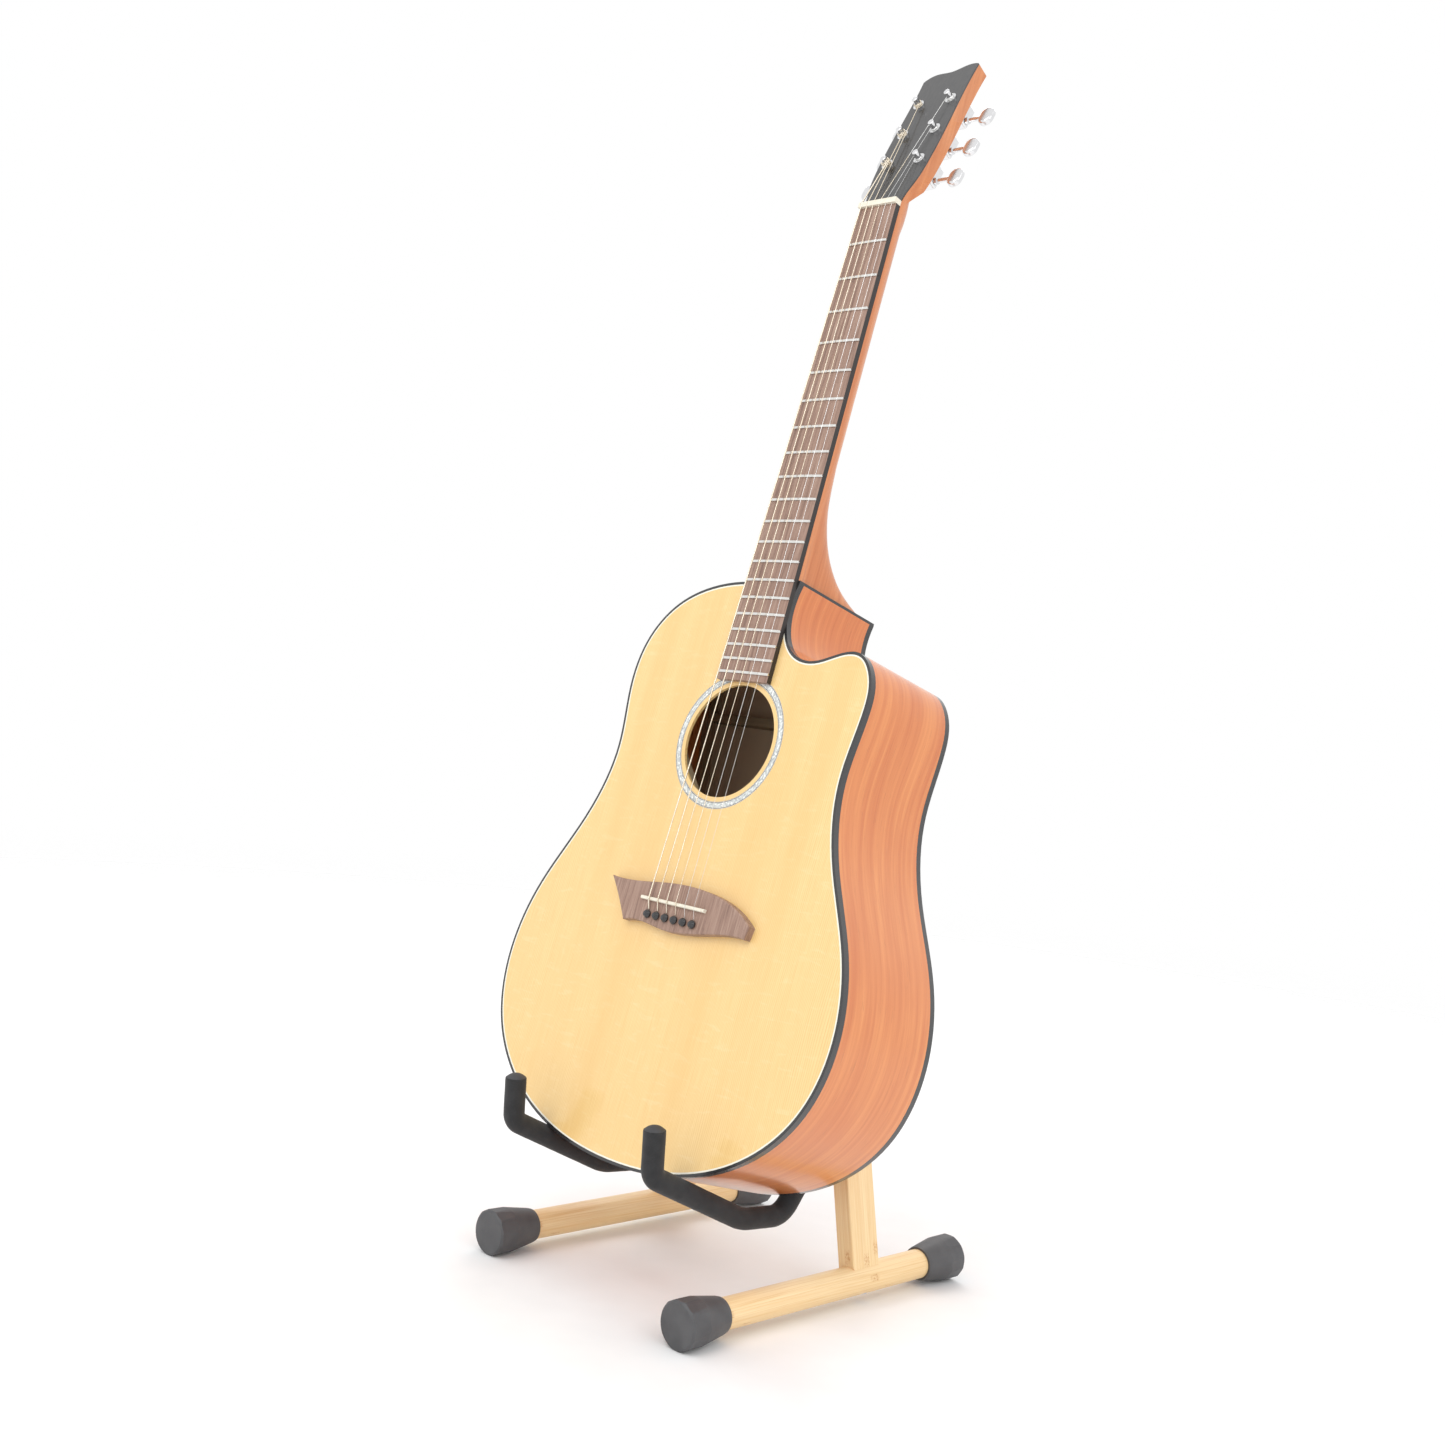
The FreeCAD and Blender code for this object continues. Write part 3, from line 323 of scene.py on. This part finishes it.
def wound_strings():
    """Bronze winding on the four low strings, plain steel on the other two, told apart by place."""
    s = Surface("string_metal", GUITAR, roughness=0.26, metallic=1.0)
    plain = s.step(s.x, 8.5, 9.0)
    turns = s.math("SINE", s.math("MULTIPLY", s.z, 2 * math.pi / 0.42))
    wound = s.math("MULTIPLY", turns, s.math("SUBTRACT", 1.0, plain))
    tarnish = s.noise(s.scaled(0.2, 0.2, 0.05), detail=3.0)
    bronze = s.ramp(tarnish, (0.3, linear(222, 208, 184)), (0.7, linear(240, 230, 212)))
    s.colour(s.mix(plain, bronze, linear(232, 232, 230)))
    s.bump(s.math("MULTIPLY_ADD", wound, 0.5, 0.5), 0.06, 0.6)
    return s.material


def mosaic():
    """Shell chips between fine black and white rings round the soundhole."""
    s = Surface("rosette_mosaic", GUITAR @ shift(z=362), roughness=0.22, coat=0.7)
    radius = s.math("SQRT", s.math("ADD", s.math("MULTIPLY", s.x, s.x), s.math("MULTIPLY", s.z, s.z)))
    around = s.math("ARCTAN2", s.z, s.x)
    chip = s.point(s.math("MULTIPLY", around, 34.0), s.math("MULTIPLY", radius, 0.9), 0.0)
    cells = s.node("TexVoronoi", {"Vector": chip, "Scale": 1.0}).outputs["Color"]
    shade = s.noise(cells, detail=0.0, scale=3.0)
    tones = ((0.30, linear(170, 174, 174)), (0.5, linear(204, 208, 206)), (0.70, linear(236, 238, 234)))
    base = s.ramp(shade, *tones)
    from_middle = s.math("ABSOLUTE", s.math("SUBTRACT", radius, 57.25))
    base = s.mix(s.step(from_middle, 2.1, 2.25), base, linear(40, 40, 42))
    base = s.mix(s.step(from_middle, 2.6, 2.75), base, linear(236, 232, 222))
    base = s.mix(s.step(from_middle, 3.0, 3.1), base, linear(60, 56, 54))
    s.colour(base)
    return s.material


def plain(name, dark, light, roughness, coat=0.0, stretch=(0.3, 0.3, 0.3)):
    """Bone, lacquer or bare softwood: a soft grain between two close tones."""
    s = Surface(name, GUITAR, roughness=roughness, coat=coat)
    grain = s.noise(s.scaled(*stretch), detail=5.0, roughness=0.6)
    s.colour(s.ramp(grain, (0.3, dark), (0.7, light)))
    s.bump(grain, 0.015, 0.3)
    return s.material


ALONG_Z = (0.16, 0.16, 0.006)
ROUND_THE_RIM = (0.006, 0.16, 0.006)
ORANGE, ORANGE_DARK = linear(224, 142, 80), linear(202, 112, 58)
NECK_LIGHT, NECK_DARK = linear(216, 142, 92), linear(190, 112, 66)

look = {
    "cap_rubber": moulded("cap_rubber", linear(70, 70, 72), linear(84, 84, 86), 0.5, 0.5, 0.05),
    "knob_plastic": moulded("knob_plastic", linear(40, 40, 43), linear(52, 52, 55), 0.42, 0.4, 0.04),
    "foam": foam("foam", linear(34, 34, 36), linear(46, 46, 48)),
    "foam_tip": moulded("foam_tip", linear(54, 54, 57), linear(68, 68, 71), 0.6, 0.4, 0.05),
    "pad_rubber": foam("pad_rubber", linear(38, 39, 42), linear(48, 49, 52)),
    "zinc_steel": metal("zinc_steel", (0.62, 0.63, 0.65), 0.3),
    "nickel_steel": metal("nickel_steel", (0.74, 0.73, 0.71), 0.2, (0.05, 0.9, 0.9)),
    "chrome": metal("chrome", (0.83, 0.83, 0.84), 0.12, (0.2, 0.2, 0.2), 0.004),
    "fret_metal": metal("fret_metal", (0.86, 0.85, 0.82), 0.22, (0.05, 2.0, 2.0)),
    "string_metal": wound_strings(),
    "spruce": spruce("spruce", GUITAR),
    "sides": mahogany("mahogany_sides", GUITAR, ROUND_THE_RIM, ORANGE, ORANGE_DARK),
    "back": mahogany("mahogany_back", GUITAR, ALONG_Z, ORANGE, ORANGE_DARK, match=True),
    "neck_mahogany": mahogany("neck_mahogany", GUITAR, ALONG_Z, NECK_LIGHT, NECK_DARK, 0.25, 0.36),
    "rosewood": rosewood("rosewood", GUITAR),
    "fretboard": rosewood("fretboard_rosewood", GUITAR, board=True),
    "rosette_mosaic": mosaic(),
    "black_binding": plain("black_binding", linear(34, 34, 36), linear(44, 44, 46), 0.25, 0.6),
    "black_veneer": plain("black_veneer", linear(40, 40, 42), linear(54, 53, 53), 0.28, 0.6,
                          (0.4, 0.4, 0.02)),
    "bone": plain("bone", linear(218, 211, 192), linear(236, 230, 214), 0.4),
    "pin_plastic": plain("pin_plastic", linear(30, 30, 32), linear(42, 42, 44), 0.22, 0.5),
    "lining_wood": plain("lining_wood", linear(150, 124, 94), linear(172, 146, 112), 0.7,
                         stretch=(0.2, 0.2, 0.01)),
    "brace_spruce": plain("brace_spruce", linear(150, 132, 104), linear(172, 152, 122), 0.7,
                          stretch=(0.01, 0.3, 0.3)),
    "purfling": plain("purfling", linear(232, 228, 212), linear(244, 240, 226), 0.3, 0.4),
}
for side_name, side in SIDES.items():
    look[side_name + "_leg"] = bamboo(side_name + "_leg_bamboo", LEG[side])
    look[side_name + "_base_tube"] = bamboo(
        side_name + "_tube_bamboo", FOOT @ shift(x=side * FOOT_HALF_MM) @ turn("X", -math.pi / 2), 6.2, 8.3)


def paint(thing, material):
    thing.data.materials.clear()
    thing.data.materials.append(material)


slot_of = {entry["node"]: entry["material_slot"] for entry in frame["record"]["subparts"]}
for name, thing in NODES.items():
    paint(thing, look.get(name) or look[slot_of[name]])


# ------------------------------------------------------------------ new pieces
def piece(name, bm, material, body):
    """A finished bmesh as an object of the scene, riding on a body."""
    mesh = bpy.data.meshes.new(name)
    bmesh.ops.recalc_face_normals(bm, faces=bm.faces)
    bm.to_mesh(mesh)
    bm.free()
    made = bpy.data.objects.new(name, mesh)
    bpy.context.scene.collection.objects.link(made)
    mesh.materials.append(material)
    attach(made, body)
    return made


ARM_CORNERS = [(0, 0), (20, 0), (60, 61), (108, 60), (217, 17.5), (221, -16)]
ARM_BENDS = [16, 22, 50, 12]
SLEEVE_R = 9.0
ROLLED_MM = 3.0               # the foam is rolled in over this length where it meets the leg
# Height past the arm's end and radius: the sleeve's crisp lip, then the shallow plug inside it.
LIP = [(1.6, 9.0), (2.6, 8.92), (3.1, 8.7), (3.35, 8.4), (3.15, 8.25)]
PLUG = [(3.35, 8.1), (4.3, 7.2), (5.2, 5.9), (6.0, 4.3), (6.5, 2.6), (6.8, 1.0)]


def arm_line(step=1.6):
    """Points and directions, in millimetres, along the arm's centre line from the leg to the tip."""
    corners = [Vector((0, -a, -b)) for a, b in ARM_CORNERS]
    line = []

    def straight(a, b):
        count = max(2, round((b - a).length / step))
        line.extend((a.lerp(b, k / count), (b - a).normalized()) for k in range(count))

    start = corners[0]
    for before, corner, after, radius in zip(corners, corners[1:], corners[2:], ARM_BENDS):
        u, v = (before - corner).normalized(), (after - corner).normalized()
        half = u.angle(v) / 2
        reach = radius / math.tan(half)
        centre = corner + (u + v).normalized() * radius / math.sin(half)
        straight(start, corner + u * reach)
        arm_a = corner + u * reach - centre
        sweep = math.pi - 2 * half
        axis = arm_a.cross(corner + v * reach - centre).normalized()
        count = max(3, round(radius * sweep / step))
        for k in range(count):
            spoke = Matrix.Rotation(sweep * k / count, 3, axis) @ arm_a
            line.append((centre + spoke, axis.cross(spoke).normalized()))
        start = corner + v * reach
    straight(start, corners[-1])
    line.append((corners[-1], (corners[-1] - corners[-2]).normalized()))
    return line


def sleeve(side_name, side):
    """Foam sleeve: a swept skin, slightly uneven, pinched where it meets the leg, with a domed plug in its
    tip.
    """
    around = 48
    line = arm_line()
    tip, run = line[-1]
    rows = []
    for k, (centre, along) in enumerate(line):
        from_leg = -centre.y if k < 8 else ROLLED_MM
        pinch = 1.6 * max(0.0, 1 - from_leg / ROLLED_MM) ** 2
        rows.append((centre if k else centre + along * 0.3, along, SLEEVE_R - pinch))
    rows += [(tip + run * height, run, radius) for height, radius in LIP]
    plug_from = len(rows) - 1
    rows += [(tip + run * height, run, radius) for height, radius in PLUG]
    bm = bmesh.new()
    rings = []
    for k, (centre, along, radius) in enumerate(rows):
        u = Vector((1, 0, 0))
        v = along.cross(u).normalized()
        ring = []
        for j in range(around):
            angle = 2 * math.pi * j / around
            out = u * math.cos(angle) + v * math.sin(angle)
            at = centre + out * radius
            soft = 0.0 if k > plug_from else 0.10 * noise.noise(at * 0.13 + Vector((side * 40, 0, 0)))
            soft += 0.05 * noise.noise(at * 0.6) if k <= plug_from else 0
            ring.append(bm.verts.new(ARM[side] @ ((at + out * (soft - 0.08)) * MM)))
        rings.append(ring)
    for k, (a, b) in enumerate(zip(rings, rings[1:])):
        for j in range(around):
            face = bm.faces.new((a[j], a[(j + 1) % around], b[(j + 1) % around], b[j]))
            face.smooth = True
            face.material_index = 1 if k >= plug_from else 0
    first = bm.verts.new(ARM[side] @ Vector((0, -0.3 * MM, 0)))
    last = bm.verts.new(ARM[side] @ ((tip + run * 6.9) * MM))
    for j in range(around):
        bm.faces.new((rings[0][(j + 1) % around], rings[0][j], first))
        face = bm.faces.new((rings[-1][j], rings[-1][(j + 1) % around], last))
        face.material_index = 1
        face.smooth = True
    made = piece(side_name + "_foam_sleeve", bm, look["foam"], side_name + "_arm")
    made.data.materials.append(look["foam_tip"])
    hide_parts(side_name + "_arm_sleeve")


def top_pad(side_name, side):
    """Foam-rubber pad: down the leg's front and back over its top, with rounded edges and a soft swell."""
    thick, drop = 3.4, 38.0
    inner, outer = sorted((-side * (LEG_W_MM / 2 - 1.2), side * LEG_W_MM / 2))
    front, back, top = -LEG_T_MM / 2, LEG_T_MM / 2, LEG_LENGTH_MM
    section = [(front, top - drop), (front, top), (back, top), (back, top + thick),
               (front - thick, top + thick), (front - thick, top - drop)]
    bm = bmesh.new()
    loops = [[bm.verts.new((x, y, z)) for y, z in section] for x in (inner, outer)]
    bm.faces.new(loops[0])
    bm.faces.new(loops[1][::-1])
    for k in range(len(section)):
        n = (k + 1) % len(section)
        bm.faces.new((loops[0][k], loops[1][k], loops[1][n], loops[0][n]))
    bmesh.ops.recalc_face_normals(bm, faces=bm.faces)
    on_the_leg = {v for v in bm.verts if abs(v.co.y - front) < 1e-3 or abs(v.co.z - top) < 1e-3}
    edges = [e for e in bm.edges if not on_the_leg.issuperset(e.verts)]
    bmesh.ops.bevel(bm, geom=edges, offset=0.9, segments=4, profile=0.6, affect="EDGES")
    bmesh.ops.triangulate(bm, faces=[f for f in bm.faces if len(f.verts) > 4])
    long_edges = [e for e in bm.edges if e.calc_length() > 4]
    bmesh.ops.subdivide_edges(bm, edges=long_edges, cuts=6, use_grid_fill=True)
    for v in bm.verts:
        v.co += v.normal * 0.06 * noise.noise(v.co * 0.25)
        v.co = LEG[side] @ (v.co * MM)
    for face in bm.faces:
        face.smooth = True
    made = piece(side_name + "_soft_pad", bm, look["pad_rubber"], side_name + "_frame")
    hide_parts(side_name + "_top_pad")


def loop_of(edges):
    """The corners of one closed run of edges, in order."""
    step = {}
    for e in edges:
        for a, b in (tuple(e.verts), tuple(e.verts)[::-1]):
            step.setdefault(a, []).append(b)
    start = edges[0].verts[0]
    order, before, at = [start], None, start
    while True:
        ahead = [v for v in step[at] if v is not before]
        before, at = at, ahead[0]
        if at is start:
            return [v.co.copy() for v in order]
        order.append(at)


def purfling():
    """A white line let into the soundboard just inside its black binding."""
    width, proud, deep = 1.3 * MM, 0.07 * MM, 0.4 * MM
    ring = NODES["top_binding"]
    bm = bmesh.new()
    bm.from_mesh(ring.data)
    bm.transform(GUITAR.inverted() @ ring.matrix_world)
    bmesh.ops.remove_doubles(bm, verts=bm.verts, dist=2e-6)
    bm.edges.index_update()
    bm.normal_update()
    front = {f for f in bm.faces if f.normal.y < -0.98}
    rim = [e for e in bm.edges if sum(f in front for f in e.link_faces) == 1]
    loops = []
    while rim:
        group, todo = set(), [rim[0]]
        while todo:
            e = todo.pop()
            if e not in group:
                group.add(e)
                todo += [n for v in e.verts for n in v.link_edges if n in rim]
        loops.append(loop_of(sorted(group, key=lambda e: e.index)))
        rim = [e for e in rim if e not in group]
    loops.sort(key=lambda loop: sum((a - b).length for a, b in zip(loop, loop[1:])))
    corners = loops[-2]
    bm.free()
    area = sum(a.x * b.z - b.x * a.z for a, b in zip(corners, corners[1:] + corners[:1]))
    hand = 1 if area > 0 else -1
    bm = bmesh.new()
    rings = []
    for before, at, after in zip(corners[-1:] + corners, corners, corners[1:] + corners[:1]):
        along = (after - before).normalized()
        inward = Vector((-along.z, 0, along.x)) * hand
        rings.append([bm.verts.new(GUITAR @ Vector((at.x + inward.x * d, y, at.z + inward.z * d)))
                      for d, y in ((0, -proud), (width, -proud), (width, deep), (0, deep))])
    for a, b in zip(rings, rings[1:] + rings[:1]):
        for k in range(4):
            bm.faces.new((a[k], a[k - 1], b[k - 1], b[k]))
    piece("white_purfling", bm, look["purfling"], "guitar")


for side_name, side in SIDES.items():
    sleeve(side_name, side)
    top_pad(side_name, side)
purfling()

# ------------------------------------------------------------------ floor, light and camera
FLOOR_R, FADE_FROM, FADE_TO = 4.0, 1000.0, 3400.0
bm = bmesh.new()
bmesh.ops.create_circle(bm, cap_ends=True, segments=96, radius=FLOOR_R)
mesh = bpy.data.meshes.new("floor")
bm.to_mesh(mesh)
bm.free()
floor = bpy.data.objects.new("floor", mesh)
bpy.context.scene.collection.objects.link(floor)
ground = Surface("floor_paint", roughness=0.9)
distance = ground.node("VectorMath", {0: ground.where}, operation="LENGTH").outputs["Value"]
mottle = ground.noise(ground.scaled(0.02, 0.02, 0.02), detail=3.0)
ground.colour(ground.ramp(mottle, (0.3, (0.87, 0.87, 0.87)), (0.7, (0.90, 0.90, 0.90))))
ground.tree.links.new(ground.math("SUBTRACT", 1.0, ground.step(distance, FADE_FROM, FADE_TO)),
                      ground.shader.inputs["Alpha"])
mesh.materials.append(ground.material)

world = bpy.data.worlds.new("studio")
world.use_nodes = True
world.node_tree.nodes["Background"].inputs["Color"].default_value = (1.0, 1.0, 1.0, 1)
world.node_tree.nodes["Background"].inputs["Strength"].default_value = 1.0
bpy.context.scene.world = world
bpy.context.scene.view_settings.view_transform = "Standard"


def round_the_target(azimuth, elevation):
    a, e = math.radians(azimuth), math.radians(elevation)
    return Vector((math.sin(a) * math.cos(e), -math.cos(a) * math.cos(e), math.sin(e)))


def softbox(name, azimuth, elevation, distance, size, power):
    lamp = bpy.data.lights.new(name, "AREA")
    lamp.shape = "SQUARE"
    lamp.size = size
    lamp.energy = power
    made = bpy.data.objects.new(name, lamp)
    out = round_the_target(azimuth, elevation)
    made.location = Vector((0, 0, 0.45)) + out * distance
    made.rotation_euler = out.to_track_quat("Z", "Y").to_euler()
    bpy.context.scene.collection.objects.link(made)


softbox("key", 5, 42, 2.4, 1.4, 18)
softbox("fill", 88, 30, 2.4, 1.6, 9)
softbox("back", 215, 50, 2.4, 1.2, 14)

CAMERA_AZIMUTH, CAMERA_ELEVATION, CAMERA_ROLL = 44.63, 0.45, 6.38
CAMERA_DISTANCE = 1.428
CAMERA_TARGET = Vector((-0.019, -0.044, 0.476))
FOCAL_PIXELS = 1655.0
IMAGE_SIDE = 1445.0
lens = bpy.data.cameras.new("camera")
lens.sensor_width = 36.0
lens.lens = lens.sensor_width * FOCAL_PIXELS / IMAGE_SIDE
camera = bpy.data.objects.new("camera", lens)
out = round_the_target(CAMERA_AZIMUTH, CAMERA_ELEVATION)
camera.location = CAMERA_TARGET + out * CAMERA_DISTANCE
camera.rotation_mode = "QUATERNION"
camera.rotation_quaternion = out.to_track_quat("Z", "Y") @ Matrix.Rotation(
    math.radians(CAMERA_ROLL), 3, "Z").to_quaternion()
bpy.context.scene.collection.objects.link(camera)
bpy.context.scene.camera = camera
